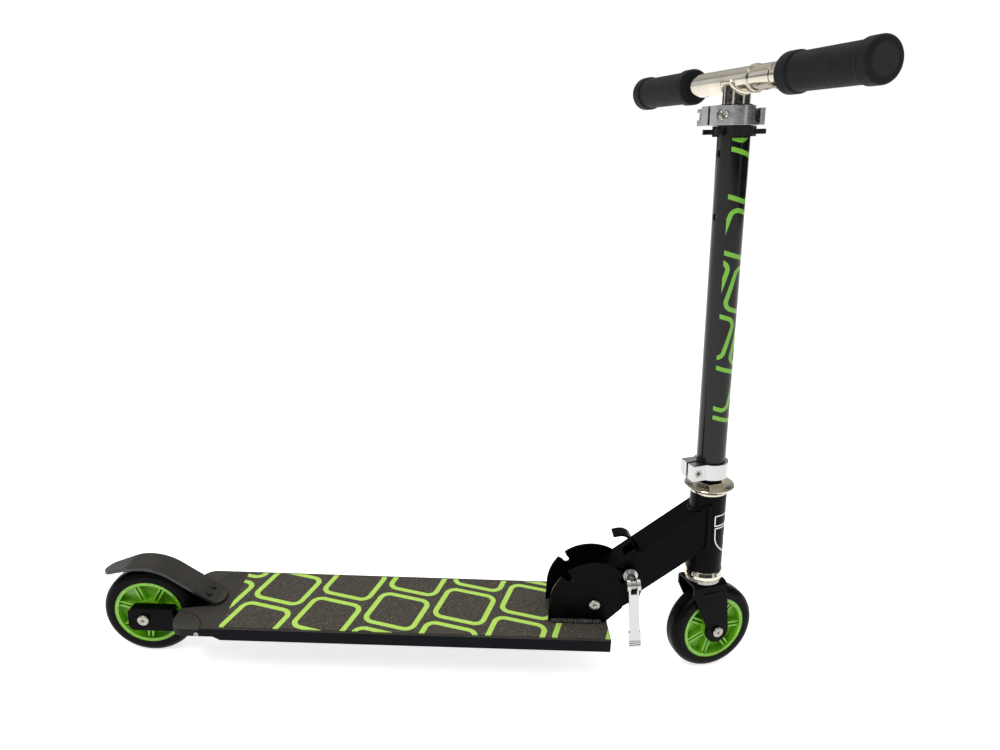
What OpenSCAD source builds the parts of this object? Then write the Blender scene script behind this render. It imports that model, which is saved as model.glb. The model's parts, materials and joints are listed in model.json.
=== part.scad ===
// Two-wheel kick scooter for a child, with a folding neck and pull-out handles.
// Millimetres. +X is forward, +Y is the rider's left, +Z is up. It stands on Z = 0,
// and the origin is on the floor under the middle of its length.
// The handlebar is drawn turned a little to the left and at its lower setting, and the
// fold's lock rod is drawn pulled back, just clear of the hinge plates.

/* [Overall] */
// Distance from the rear axle to the steering axis, where that axis meets the floor
steering_axis_x = 619; // [560:1:720]
// Backward lean of the steering axis in degrees
rake = 3.4; // [0:0.2:12]
// How far the handlebar is turned to the left in degrees
steer_deg = 17; // [0:1:40]
// Height of the handlebar along the steering axis at its lower setting
bar_h = 628; // [600:1:720]
// Distance from the steering axis to the end of each grip
bar_half = 176; // [150:1:230]

/* [Wheels] */
// Wheel diameter over the tyre
wheel_d = 101; // [86:1:124]
// Tyre width
tyre_w = 24; // [20:0.5:29]
// Radius of the tyre's rounded shoulders
tyre_round = 8.5; // [4:0.5:9.5]
// Tyre thickness over the rim
tyre_wall = 13; // [10:0.5:16]
// Pairs of ribs in each wheel
rib_pairs = 7; // [5:1:9]
// Axle diameter
axle_d = 8; // [6:0.5:9]
// Outer diameter of a wheel bearing
bearing_d = 22; // [18:0.5:26]
// Width of a wheel bearing
bearing_w = 7; // [5:0.5:8]
// How far the front axle lies ahead of the steering axis
fork_offset = 12; // [4:0.5:20]

/* [Deck] */
// Height of the deck's top
deck_z = 64; // [56:1:80]
// Deck width
deck_w = 111; // [92:1:135]
// Deck thickness
deck_t = 13.5; // [11:0.5:18]
// Wall of the deck's box
deck_wall = 2; // [1.5:0.25:3]
// Front end of the deck
deck_front_x = 506; // [500:1:540]
// Thickness of the grip tape
tape_t = 0.8; // [0.5:0.1:1.5]
// Bare margin along each side of the tape
tape_margin = 3; // [1:0.5:6]

/* [Rear end] */
// Gap between the tyre and the mudguard
fender_gap = 5.5; // [4:0.5:9]
// Width of the mudguard
fender_w = 32; // [28:1:38]
// Thickness of the mudguard
fender_t = 3.5; // [2.5:0.25:4.5]
// Slope of the mudguard down to the deck in degrees
fender_slope = 33.7; // [30:0.5:40]
// Width over the two arms that hold the rear axle
arm_w = 48; // [44:1:56]
// Height of each arm beside the wheel
arm_h = 27; // [22:1:32]
// Plate thickness of the arms
arm_t = 3; // [2:0.25:4]

/* [Hinge] */
// Hinge pivot, measured from the rear axle
pivot_x = 490.2; // [480:0.1:500]
// Height of the hinge pivot above the deck
pivot_up = 22.7; // [22:0.1:26]
// Radius of the hinge plates' curved edge
plate_r = 49; // [46:0.5:54]
// Thickness of each hinge plate
plate_t = 3; // [2.5:0.25:4]
// Width between the hinge plates
plate_gap = 39; // [36:0.5:44]
// How far the neck folds back in degrees
fold_deg = 88; // [70:1:88]
// Diameter of the rod that locks the fold
rod_d = 6; // [5:0.5:7]
// Direction of the front lock notch from the pivot in degrees
notch_deg = 46.5; // [44:0.1:52]
// Depth of the lock notches, from the curved edge to the seated rod's centre
notch_in = 8; // [5:0.1:9]
// Length of the lock lever
lever_len = 75; // [55:1:76]
// Distance from the scooter's middle to the lock lever's pin
lever_out = 42; // [38:0.5:48]

/* [Neck and head] */
// Angle of the neck above the deck in degrees
neck_deg = 40; // [36:0.5:44]
// Height of the neck's box section
neck_h = 40.7; // [37:0.1:43]
// Wall of the neck's box section
neck_wall = 2.5; // [2:0.25:4]
// Outer diameter of the head tube
head_d = 38; // [35:0.5:42]
// Lower end of the head tube, along the steering axis
head_low = 127; // [125:0.5:132]
// Upper end of the head tube, along the steering axis
head_top = 218.5; // [213:0.5:220]
// Diameter of the chromed headset flange
flange_d = 52.4; // [44:0.5:58]

/* [Steering column] */
// Diameter of the fork's steering tube
steerer_d = 25.4; // [24:0.1:25.4]
// Outer diameter of the outer tube
outer_d = 30; // [29.6:0.1:34]
// Wall of the outer tube
outer_wall = 2; // [1.5:0.1:2]
// Upper end of the outer tube, along the steering axis
outer_top = 607.5; // [600:0.5:612]
// Diameter of the sliding inner stem
stem_d = 25; // [23:0.1:25.4]
// Rise of the handlebar from its lower to its upper setting
height_travel = 58; // [30:1:70]
// Height of the lower setting's button hole, along the steering axis
button_h = 506; // [440:1:510]
// Height of each clamp band
clamp_h = 17; // [14:0.5:20]
// Wall of each clamp band
clamp_wall = 3; // [2.5:0.25:4]

/* [Handlebar] */
// Diameter of the cross tube and of the handles
bar_d = 22; // [20:0.5:24]
// Half the length of the cross tube
sleeve_half = 58; // [50:1:62]
// Inner end of each grip, measured from the steering axis
grip_start = 72; // [66:1:90]
// Diameter of a grip at its middle
grip_d = 31; // [28:0.5:36]
// Diameter of a grip at its two collars
grip_end_d = 34.2; // [32:0.1:40]
// How far each handle pulls out before it comes free
handle_travel = 45; // [30:1:46]

/* [Fits] */
// Radial clearance of a turning fit
run = 0.05; // [0.02:0.01:0.1]
// Gap between pieces that pass each other
gap = 0.3; // [0.2:0.05:0.5]

/* [Hidden] */
$fn = 64;

black = "#1b1c20";
dark_grey = "#4b4947";
chrome = "#c9ccd0";
steel = "#a9adb2";
green = "#8ccc2c";
foam = "#33363a";

// Wheels and the ground
wheel_r = wheel_d / 2;
rim_r = wheel_r - tyre_wall;
axle_r = axle_d / 2;
bearing_r = bearing_d / 2;
half_tyre = tyre_w / 2;
bolt_head_r = axle_r + 2;
bolt_head_t = 3.2;
nut_flats = axle_d * 1.625;
nut_t = axle_d * 0.7;

// The turned, leaning front wheel: the parts of its axes along X and Z fix where it stands
lean_x = sin(steer_deg) * cos(rake);
lean_z = sin(steer_deg) * sin(rake);
flat_x = sqrt(1 - lean_x * lean_x);
flat_z = sqrt(1 - lean_z * lean_z);
tyre_core = wheel_r - tyre_round;
tyre_side = half_tyre - tyre_round;
front_axle_z = tyre_core * flat_z + tyre_side * lean_z + tyre_round;
front_axle_h = (front_axle_z - fork_offset * cos(steer_deg) * sin(rake)) / cos(rake);
front_axle_x = steering_axis_x - front_axle_h * sin(rake)
    + fork_offset * cos(steer_deg) * cos(rake);
front_end_x = front_axle_x + tyre_core * flat_x + tyre_side * lean_x + tyre_round;
// Half the length, which carries the rear-axle frame to the row's own frame
mid_x = (front_end_x - wheel_r) / 2;

// Mudguard: an arc over the tyre, a straight tail and a straight slope to the deck
arc_x = -3.2;
arc_z = wheel_r - 1.5;
arc_r = wheel_r + fender_gap;
tail_slope = 18;
tail_len = 29;
slope_x = arc_x + arc_r * sin(fender_slope);
slope_z = arc_z + arc_r * cos(fender_slope);
slope_len = (slope_z - deck_z) / sin(fender_slope);
nose_x = slope_x + slope_len * cos(fender_slope);
nose_len = 7.5;
screw_back = 13;
screw_r = 2;
screw_len = 7;
screw_half = 6.5;

// Deck
deck_bottom = deck_z - deck_t;
rear_t = deck_t - 4;
step_x = nose_x + 10;
tape_x = nose_x + 16.5;
slot_front_x = nose_x - 4;
slot_half = half_tyre + 3;
ear_x = wheel_r - 10.5;
seam_wide = deck_w / 2 - slot_half - 10;
seam_long = nose_x - ear_x - 2.5;

// Rear arms
arm_end_x = wheel_r - 19;
arm_rear_x = -17;
arm_front_x = nose_x + 55;
arm_half = arm_w / 2;
arm_inner = half_tyre + 1;
arm_low_z = wheel_r - 0.5 - arm_h / 2;

// Hinge and neck
pivot_z = deck_z + pivot_up;
neck_half = plate_gap / 2 - 0.8;
lug_r = pivot_up - 1.2;
neck_top = 20.4;
neck_low = neck_top - neck_h;
plate_out = plate_gap / 2 + plate_t;
rod_r = rod_d / 2;
rod_out_r = plate_r + gap + rod_r;
rod_in_r = plate_r - notch_in;
lock_travel = rod_out_r - rod_in_r;
rod_x = rod_out_r * cos(notch_deg);
rod_z = rod_out_r * sin(notch_deg);
lever_y = -lever_out;
lever_tilt = 6.4;
lever_cheek_r = 6.3;
hook_half = 7.5;

// Steering column
head_r = head_d / 2;
outer_r = outer_d / 2;
outer_bore = outer_r - outer_wall;
steerer_r = steerer_d / 2;
stem_r = stem_d / 2;
crown_h = head_low - 14;
crown_t = 3;
leg_in = half_tyre + 2.5;
leg_out = leg_in + crown_t;
flange_low = head_top + 3.3;
locknut_low = flange_low + 2.2;
low_clamp_h = head_top + 18;
outer_low = low_clamp_h;
up_clamp_h = outer_top - 18.2;
collar_h = up_clamp_h - 10;
ear_u = -(outer_r + 7);
ear_half = 12.5;
cam_v = ear_half + 6;
button_r = 3;
stem_low = button_h - 176;

// Handlebar
bar_r = bar_d / 2;
plug_r = bar_r - 1.2;
handle_bore = plug_r - 1.3;
handle_r = bar_r - 0.6;
handle_button_v = sleeve_half - 12;

// ---------- placing ----------

// Moves pieces from the rear-axle frame to the row's frame.
module place()
    translate([-mid_x, 0, 0])
        children();

// The steering axis, not turned: X forward, Z along the axis from the floor.
module head_frame()
    place()
        translate([steering_axis_x, 0, 0])
            rotate([0, -rake, 0])
                children();

// The same axis, turned with the handlebar.
module steer_frame()
    head_frame()
        rotate([0, 0, steer_deg])
            children();

// The hinge pivot: X along the neck, Z across it, Y across the scooter.
module neck_frame()
    place()
        translate([pivot_x, 0, pivot_z])
            rotate([0, -neck_deg, 0])
                children();

// The hinge pivot, level.
module pivot_frame()
    place()
        translate([pivot_x, 0, pivot_z])
            children();

// A cylinder along Y from y0 to y1.
module y_rod(y0, y1, r)
    translate([0, y0, 0])
        rotate([-90, 0, 0])
            cylinder(r = r, h = y1 - y0);

// A side view drawn in X and Z, made solid from y0 to y1.
module side_solid(y0, y1)
    translate([0, y1, 0])
        rotate([90, 0, 0])
            linear_extrude(height = y1 - y0)
                children();

// The square-on direction of a path's step from point i to the next one.
function step_normal(path, i) =
    let (d = path[i + 1] - path[i])
    [-d[1], d[0]] / norm(d);

// The direction in which a bent strip's edge leaves point i, long enough for a sharp bend.
function bend_normal(path, i) =
    let (a = step_normal(path, max(i - 1, 0)))
    let (b = step_normal(path, min(i, len(path) - 2)))
    (a + b) / (1 + a * b);

// A plate of even thickness bent along a path, seen from its edge.
module bent_strip(path, t)
    polygon(concat(
        [for (i = [0:len(path) - 1]) path[i] + bend_normal(path, i) * t / 2],
        [for (i = [len(path) - 1:-1:0]) path[i] - bend_normal(path, i) * t / 2]));

// ---------- wheels ----------

module tyre() {
    color(black)
        rotate([90, 0, 0])
            rotate_extrude($fn = 96)
                intersection() {
                    translate([rim_r, -tyre_w])
                        square([wheel_r, 2 * tyre_w]);
                    union() {
                        translate([rim_r, -half_tyre])
                            square([tyre_wall - tyre_round, tyre_w]);
                        translate([rim_r, -tyre_side])
                            square([tyre_wall, 2 * tyre_side]);
                        for (side = [-1, 1])
                            translate([tyre_core, side * tyre_side])
                                circle(r = tyre_round, $fn = 32);
                    }
                }
}

module hub() {
    boss_r = bearing_r + 3.5;
    rim_t = 4;
    rib_t = 2.2;
    rib_space = 4.4;
    color(green)
        difference() {
            union() {
                rotate([90, 0, 0])
                    rotate_extrude() {
                        translate([rim_r - rim_t, -half_tyre + 0.8])
                            square([rim_t, tyre_w - 1.6]);
                        translate([boss_r - 3, -2])
                            square([rim_r - boss_r, 4]);
                    }
                y_rod(-half_tyre + 0.4, half_tyre - 0.4, boss_r);
                for (i = [0:rib_pairs - 1])
                    rotate([0, i * 360 / rib_pairs + 93, 0])
                        for (side = [-1, 1])
                            translate([boss_r - 2, -half_tyre + 3, side * rib_space / 2 - rib_t / 2])
                                cube([rim_r - rim_t - boss_r + 4, tyre_w - 6, rib_t]);
            }
            for (side = [0, 1])
                mirror([0, side, 0])
                    y_rod(half_tyre - bearing_w, half_tyre + 1, bearing_r);
            y_rod(-half_tyre, half_tyre, bearing_r - 2);
        }
}

module bearings() {
    color(steel)
        for (side = [0, 1])
            mirror([0, side, 0])
                difference() {
                    y_rod(half_tyre - bearing_w, half_tyre, bearing_r);
                    y_rod(half_tyre - bearing_w - 1, half_tyre + 1, axle_r + run);
                    difference() {
                        y_rod(half_tyre - 0.5, half_tyre + 1, bearing_r - 1.6);
                        y_rod(half_tyre - 1, half_tyre + 2, axle_r + 2);
                    }
                }
}

// The sleeve between the bearings and a bush on each side, out to the plate at y = out.
module axle_spacers(out) {
    color(steel) {
        difference() {
            y_rod(-half_tyre + bearing_w + gap, half_tyre - bearing_w - gap, axle_r + 2);
            y_rod(-half_tyre, half_tyre, axle_r);
        }
        for (side = [0, 1])
            mirror([0, side, 0])
                difference() {
                    y_rod(half_tyre + gap, out, axle_r + 2.6);
                    y_rod(half_tyre, out + 1, axle_r);
                }
    }
}

// An axle bolt: domed socket head at y = -out, threaded end through the nut at y = out.
module axle_bolt(out) {
    color(chrome)
        difference() {
            union() {
                y_rod(-out, out + nut_t + 1.5, axle_r);
                y_rod(-out - bolt_head_t + 1, -out, bolt_head_r);
                y_rod(-out - bolt_head_t, -out, bolt_head_r - 1.2);
            }
            y_rod(-out - bolt_head_t - 1, -out - 1, axle_r * 0.5);
        }
}

module axle_nut(out) {
    color(steel)
        difference() {
            translate([0, out, 0])
                rotate([-90, 0, 0])
                    cylinder(d = nut_flats / cos(30), h = nut_t, $fn = 6);
            y_rod(out - 1, out + nut_t + 1, axle_r);
        }
}

module rear_wheel_frame()
    place()
        translate([0, 0, wheel_r])
            children();

module front_wheel_frame()
    steer_frame()
        translate([fork_offset, 0, front_axle_h])
            children();

module rear_tyre() rear_wheel_frame() tyre();
module rear_hub() rear_wheel_frame() hub();
module rear_bearings() rear_wheel_frame() bearings();
module rear_axle() rear_wheel_frame() axle_bolt(arm_half);
module rear_axle_spacers() rear_wheel_frame() axle_spacers(arm_half - arm_t);

module front_tyre() front_wheel_frame() rotate([0, 14, 0]) tyre();
module front_hub() front_wheel_frame() rotate([0, 14, 0]) hub();
module front_bearings() front_wheel_frame() bearings();
module front_axle() front_wheel_frame() axle_bolt(leg_out);
module front_axle_nut() front_wheel_frame() axle_nut(leg_out);
module front_axle_spacers() front_wheel_frame() axle_spacers(leg_in);

module frame_nuts() {
    rear_wheel_frame()
        axle_nut(arm_half);
    pivot_frame()
        axle_nut(plate_out);
}

// ---------- deck ----------

// The deck's outline seen from above, back to the curved seams of the end caps.
module deck_plan() {
    difference() {
        translate([ear_x, -deck_w / 2])
            square([deck_front_x - ear_x, deck_w]);
        for (side = [-1, 1])
            translate([ear_x, side * (deck_w / 2 + 1)])
                scale([seam_long / seam_wide, 1])
                    circle(r = seam_wide);
        slot_plan();
    }
}

// The wheel's slot in the deck seen from above, narrower toward its front.
module slot_plan()
    polygon([
        [ear_x - 5, -slot_half - 7],
        [slot_front_x - 4, -slot_half],
        [slot_front_x, -slot_half + 4],
        [slot_front_x, slot_half - 4],
        [slot_front_x - 4, slot_half],
        [ear_x - 5, slot_half + 7]]);

module deck_box() {
    color(black)
        place()
            difference() {
                union() {
                    translate([0, 0, deck_z - rear_t])
                        linear_extrude(height = rear_t)
                            deck_plan();
                    side_solid(-deck_w / 2, deck_w / 2)
                        polygon([
                            [step_x, deck_z],
                            [step_x, deck_z - rear_t],
                            [step_x + 8, deck_bottom],
                            [deck_front_x, deck_bottom],
                            [deck_front_x, deck_z]]);
                }
                translate([step_x + 12, -deck_w / 2 + deck_wall, deck_bottom + deck_wall])
                    cube([deck_front_x - step_x, deck_w - 2 * deck_wall, deck_t - 2 * deck_wall]);
                bolt_places()
                    translate([0, 0, deck_bottom - 1])
                        cylinder(r = 2.5, h = deck_t - deck_wall + 1);
            }
}

// Where the axle bracket is bolted up into the deck, in the rear-axle frame.
module bolt_places()
    for (x = [arm_front_x - 10, arm_front_x - 30], y = [-slot_half / 2, slot_half / 2])
        translate([x, y, 0])
            children();

module deck_front_plug() {
    t = deck_t - 2 * deck_wall;
    w = deck_w - 2 * deck_wall;
    color("#2a2b2e")
        place()
            translate([deck_front_x - 12, -w / 2, deck_bottom + deck_wall])
                cube([12, w, t]);
}

module grip_tape() {
    tape_w = deck_w - 2 * tape_margin;
    color("#5c5b59")
        place()
            difference() {
                translate([tape_x, -tape_w / 2, deck_z])
                    cube([deck_front_x - tape_x - 0.7, tape_w, tape_t]);
                translate([pivot_x - 49, -plate_out - 5, deck_z - 1])
                    cube([80, 2 * plate_out + 10, tape_t + 2]);
            }
}

// A corner piece's outline seen from above, back from the seam by "groove".
module cap_plan(groove) {
    corner_r = 15;
    difference() {
        intersection() {
            translate([ear_x, -deck_w / 2 - 1])
                scale([seam_long / seam_wide, 1])
                    circle(r = seam_wide - groove);
            translate([ear_x, -deck_w / 2])
                square([seam_long, seam_wide]);
        }
        difference() {
            translate([ear_x - 1, -deck_w / 2 - 1])
                square([corner_r + 1, corner_r + 1]);
            translate([ear_x + corner_r, corner_r - deck_w / 2])
                circle(r = corner_r);
        }
    }
}

// Moulded corner pieces beside the rear wheel, with a groove along the seam to the deck.
module rear_end_caps()
    color(dark_grey)
        place()
            for (side = [0, 1])
                mirror([0, side, 0])
                    translate([0, 0, deck_z - rear_t]) {
                        linear_extrude(height = rear_t - 1)
                            cap_plan(0);
                        linear_extrude(height = rear_t)
                            cap_plan(0.7);
                    }

module side_screws() {
    color(chrome)
        place()
            for (side = [0, 1])
                mirror([0, side, 0])
                    translate([step_x - 16, 0, deck_z - rear_t + 3.2])
                        difference() {
                            y_rod(deck_w / 2, deck_w / 2 + 1.6, 2.4);
                            y_rod(deck_w / 2 + 0.8, deck_w / 2 + 2, 1.1);
                        }
}

// ---------- rear arms and mudguard ----------

// One arm's side view: tall beside the wheel with cut corners, low under the deck.
module arm_side(inset) {
    cut = 4;
    top = arm_low_z + arm_h - inset;
    low = arm_low_z + inset;
    polygon([
        [arm_rear_x + inset, low + cut],
        [arm_rear_x + inset + cut, low],
        [arm_front_x - inset, low],
        [arm_front_x - inset, deck_bottom - inset],
        [step_x, deck_bottom - inset],
        [step_x, deck_z - rear_t - 0.2 - inset],
        [arm_end_x - inset, deck_z - rear_t - 0.2 - inset],
        [arm_end_x - inset, top],
        [arm_rear_x + inset + cut, top],
        [arm_rear_x + inset, top - cut]]);
}

module axle_bracket() {
    color(black)
        place()
            difference() {
                union() {
                    for (side = [0, 1])
                        mirror([0, side, 0])
                            difference() {
                                side_solid(arm_inner, arm_half)
                                    arm_side(0);
                                side_solid(arm_inner - 1, arm_half - arm_t)
                                    arm_side(arm_t);
                            }
                    translate([nose_x - 12, -arm_inner - 1, deck_bottom - arm_t])
                        cube([arm_front_x - nose_x + 12, 2 * arm_inner + 2, arm_t]);
                }
                translate([0, 0, wheel_r])
                    y_rod(-arm_half - 1, arm_half + 1, axle_r);
                bolt_places()
                    translate([0, 0, deck_bottom - 2 * arm_t])
                        cylinder(r = 2.5, h = 3 * arm_t);
            }
}

module bracket_bolts() {
    color(steel)
        place()
            bolt_places() {
                translate([0, 0, deck_bottom - arm_t])
                    cylinder(r = 2.5, h = arm_t + 8);
                translate([0, 0, deck_bottom - arm_t - 3.5])
                    cylinder(d = 9.2, h = 3.5, $fn = 6);
            }
}

// The underside of the mudguard's slope at a distance back from its foot.
function slope_point(back) = [nose_x - back * cos(fender_slope), deck_z + back * sin(fender_slope)];

// The mudguard's side view, its underside raised by "lift".
module fender_side(lift) {
    r0 = arc_r + lift;
    difference() {
        translate([arc_x, arc_z])
            circle(r = r0 + fender_t, $fn = 128);
        translate([arc_x, arc_z])
            circle(r = r0, $fn = 128);
        translate([arc_x, arc_z])
            rotate(90 - fender_slope)
                translate([-2 * r0, -3 * r0])
                    square([4 * r0, 3 * r0]);
        translate([arc_x, arc_z])
            rotate(90 + tail_slope)
                translate([-2 * r0, 0])
                    square([4 * r0, 3 * r0]);
    }
    translate([arc_x, arc_z])
        rotate(tail_slope)
            translate([-tail_len, r0])
                square([tail_len, fender_t]);
    translate([arc_x, arc_z])
        rotate(-fender_slope)
            translate([0, r0])
                square([slope_len, fender_t]);
}

// The mudguard seen from above: a narrow round tail and a round nose.
module fender_plan() {
    half = fender_w / 2;
    nose_r = 12;
    tail_x = arc_x - arc_r * sin(tail_slope) - tail_len * cos(tail_slope) + 0.5;
    tail_half = 11.5;
    translate([tail_x + tail_half, 0])
        circle(r = tail_half);
    polygon([
        [tail_x + tail_half, -tail_half],
        [-14, -half],
        [nose_x + nose_len - nose_r, -half],
        [nose_x + nose_len - nose_r, half],
        [-14, half],
        [tail_x + tail_half, tail_half]]);
    for (side = [-1, 1])
        translate([nose_x + nose_len - nose_r, side * (half - nose_r)])
            circle(r = nose_r);
    translate([nose_x + nose_len - nose_r, nose_r - half])
        square([nose_r, fender_w - 2 * nose_r]);
}

module fender() {
    color(dark_grey)
        place()
            difference() {
                intersection() {
                    side_solid(-fender_w / 2, fender_w / 2) {
                        fender_side(gap);
                        polygon([
                            [nose_x - 3, deck_z + gap],
                            [nose_x + nose_len, deck_z + gap],
                            [nose_x + nose_len, deck_z + gap + fender_t],
                            [nose_x - 3, deck_z + gap + fender_t]]);
                    }
                    linear_extrude(height = 3 * wheel_r)
                        fender_plan();
                }
                fender_screw_places()
                    translate([0, 0, -2])
                        cylinder(r = screw_r, h = fender_t + 6);
            }
}

// The two screws through the slope, with Z square to the mudguard, Z = 0 at its underside.
module fender_screw_places()
    for (side = [-1, 1])
        translate([slope_point(screw_back)[0], side * screw_half, slope_point(screw_back)[1]])
            rotate([0, fender_slope, 0])
                translate([0, 0, gap])
                    children();

module fender_screws() {
    color(steel)
        place()
            fender_screw_places() {
                translate([0, 0, -screw_len])
                    cylinder(r = screw_r, h = screw_len + fender_t + 1);
                translate([0, 0, fender_t])
                    cylinder(r = screw_r + 1.7, h = 1.4);
                translate([0, 0, fender_t])
                    cylinder(r = screw_r + 0.8, h = 2.2);
            }
}

// The wedge that carries the mudguard, standing on the axle bracket's cross plate.
module fender_mount() {
    low = deck_bottom;
    back = slope_point(screw_back + 6);
    front_x = slot_front_x - 0.2;
    front_top = slope_point((nose_x - front_x) / cos(fender_slope))[1];
    color(black)
        place()
            difference() {
                side_solid(4.2 - slot_half, slot_half - 4.2)
                    difference() {
                        polygon([
                            [nose_x - 12, low],
                            [front_x, low],
                            [front_x, front_top],
                            back,
                            [back[0], back[1] - 6],
                            [nose_x - 20, deck_z - 4]]);
                        translate([0, wheel_r])
                            circle(r = wheel_r + 2.5, $fn = 96);
                    }
                fender_screw_places()
                    translate([0, 0, -screw_len - 2])
                        cylinder(r = screw_r + 0.9, h = screw_len + 6);
            }
}

// ---------- hinge ----------

// One hinge plate's side view about the pivot, with its two flared lock notches.
module plate_side() {
    front = 30.6;
    notch_r = rod_r + gap;
    difference() {
        intersection() {
            union() {
                circle(r = plate_r, $fn = 128);
                translate([-plate_r, -pivot_up])
                    square([plate_r + 13, pivot_up]);
            }
            polygon([
                [-plate_r - 1, -pivot_up],
                [13, -pivot_up],
                [front, -4],
                [front + 12, 42],
                [front, plate_r + 1],
                [-plate_r - 1, plate_r + 1]]);
        }
        for (a = [notch_deg, notch_deg + fold_deg])
            rotate(a) {
                translate([rod_in_r, 0])
                    circle(r = notch_r);
                polygon([
                    [rod_in_r, -notch_r],
                    [rod_in_r + 3, -notch_r],
                    [plate_r + 4, -notch_r - 3],
                    [plate_r + 4, notch_r + 3],
                    [rod_in_r + 3, notch_r],
                    [rod_in_r, notch_r]]);
            }
    }
}

module hinge_plates() {
    color(black)
        pivot_frame()
            for (side = [0, 1])
                mirror([0, side, 0])
                    difference() {
                        side_solid(plate_gap / 2, plate_out)
                            plate_side();
                        y_rod(0, plate_out + 1, axle_r);
                    }
}

module hinge_welds() {
    leg = 3.6;
    color("#26272b")
        pivot_frame()
            for (side = [0, 1])
                mirror([0, side, 0])
                    translate([-plate_r + 1, plate_out, -pivot_up])
                        rotate([90, 0, 90])
                            linear_extrude(height = plate_r + 10)
                                intersection() {
                                    square([leg, leg]);
                                    circle(r = leg);
                                }
}

module pivot_bolt() pivot_frame() axle_bolt(plate_out);

// ---------- neck and head ----------

// The neck's side view: a round lug at the pivot, a deeper foot, and the box section.
module neck_side() {
    foot = 42.7;
    circle(r = lug_r);
    polygon([
        [0, -lug_r],
        [foot, neck_low - 5.4],
        [foot + 7, neck_low],
        [190, neck_low],
        [190, neck_top],
        [18, neck_top],
        [0, lug_r]]);
}

// The room inside the neck's side view.
module neck_room() {
    circle(r = lug_r - neck_wall);
    polygon([
        [0, neck_wall - lug_r],
        [40, neck_low + neck_wall],
        [190, neck_low + neck_wall],
        [190, neck_top - neck_wall],
        [18, neck_top - neck_wall],
        [0, lug_r - neck_wall]]);
}

module neck_tube() {
    dy = neck_half - neck_wall;
    hook_a = 71.7;
    color(black)
        difference() {
            neck_frame()
                side_solid(-neck_half, neck_half)
                    neck_side();
            neck_frame()
                side_solid(-dy, dy)
                    neck_room();
            neck_frame()
                y_rod(-neck_half - 1, neck_half + 1, axle_r + 3);
            // slots for the lock rod, along its travel
            pivot_frame()
                rotate([0, -notch_deg, 0]) {
                    for (r = [rod_in_r, rod_out_r])
                        translate([r, 0, 0])
                            y_rod(-neck_half - 1, neck_half + 1, rod_r + gap);
                    translate([rod_in_r, -neck_half - 1, -rod_r - gap])
                        cube([lock_travel, 2 * neck_half + 2, rod_d + 2 * gap]);
                }
            // slot for the release hook in the top wall
            neck_frame()
                translate([hook_a - lock_travel - 3.5, -hook_half - 0.6, neck_top - 6])
                    cube([lock_travel + 7, 2 * hook_half + 1.2, 12]);
            // the end is cut to the head tube's curve
            head_frame()
                cylinder(r = head_r, h = 400, $fn = 96);
            head_frame()
                translate([0, -40, 0])
                    cube([200, 80, 400]);
        }
}

module head_tube() {
    color(black)
        head_frame()
            translate([0, 0, head_low])
                difference() {
                    cylinder(r = head_r, h = head_top - head_low, $fn = 96);
                    translate([0, 0, -1])
                        cylinder(r = head_r - 3, h = head_top - head_low + 2);
                }
}

module pivot_bush() {
    color(steel)
        pivot_frame()
            difference() {
                y_rod(-neck_half, neck_half, axle_r + 3);
                y_rod(-neck_half - 1, neck_half + 1, axle_r + run);
            }
}

module pivot_washers() {
    color("#d8d8d2")
        pivot_frame()
            for (side = [0, 1])
                mirror([0, side, 0])
                    difference() {
                        y_rod(neck_half, neck_half + 0.5, 12);
                        y_rod(neck_half - 1, neck_half + 1, axle_r + run);
                    }
}

// A headset cup: a barrel outside the head tube, wider by "flare", and a skirt pressed into it.
module headset_cup(barrel_t, flare) {
    bore = head_r - 6;
    seat = head_r - 3.5;
    rotate_extrude($fn = 96) {
        translate([bore, 0])
            square([head_r - 3 - bore, 9]);
        polygon([
            [seat, -barrel_t],
            [head_r + flare / 3, -barrel_t],
            [head_r + flare, -barrel_t * 0.8],
            [head_r + flare, -barrel_t * 0.45],
            [head_r + flare / 2, -barrel_t * 0.12],
            [head_r + flare / 4, 0],
            [seat, 0]]);
    }
}

module lower_cup() {
    color(chrome)
        head_frame()
            translate([0, 0, head_low])
                headset_cup(head_low - crown_h - 3.8, 2.2);
}

module upper_cup() {
    color(chrome)
        head_frame()
            translate([0, 0, head_top])
                mirror([0, 0, 1])
                    headset_cup(2.6, 0.6);
}

module headset_bearings() {
    color(steel)
        head_frame()
            for (z = [head_low - 7, head_top])
                translate([0, 0, z])
                    difference() {
                        cylinder(r = head_r - 3.5, h = z < head_top ? 7 : 3);
                        translate([0, 0, -1])
                            cylinder(r = steerer_r + run, h = 12);
                    }
}

// ---------- fold lock ----------

// Moves to the lock rod's own place.
module rod_frame()
    pivot_frame()
        translate([rod_x, 0, rod_z])
            children();

// The lever's pin: X along the pin, -Z along the lever.
module lever_frame()
    rod_frame()
        translate([0, lever_y, 0])
            rotate([0, -lever_tilt, 0])
                children();

module lock_rod() {
    color(steel)
        difference() {
            union() {
                rod_frame()
                    y_rod(lever_y, plate_out + gap + 6.2, rod_r);
                lever_frame()
                    rotate([0, 90, 0])
                        translate([0, 0, -rod_r])
                            cylinder(r = 4.4, h = rod_d);
            }
            lever_frame()
                rotate([0, 90, 0])
                    translate([0, 0, -8])
                        cylinder(r = 2, h = 16);
        }
}

module rod_nut() {
    color(steel)
        rod_frame()
            translate([0, plate_out + gap, 0])
                rotate([-90, 0, 0])
                    difference() {
                        cylinder(d = 10 / cos(30), h = 5, $fn = 6);
                        translate([0, 0, -1])
                            cylinder(r = rod_r, h = 8);
                    }
}

module lever_washer() {
    color(chrome)
        rod_frame()
            difference() {
                union() {
                    y_rod(-plate_out - gap - 2, -plate_out - gap, 7.8);
                    y_rod(-plate_out - gap - 3.6, -plate_out - gap, 6.4);
                    y_rod(lever_y + lever_cheek_r + gap, -plate_out - gap, 5);
                }
                y_rod(lever_y, 0, rod_r);
            }
}

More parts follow.
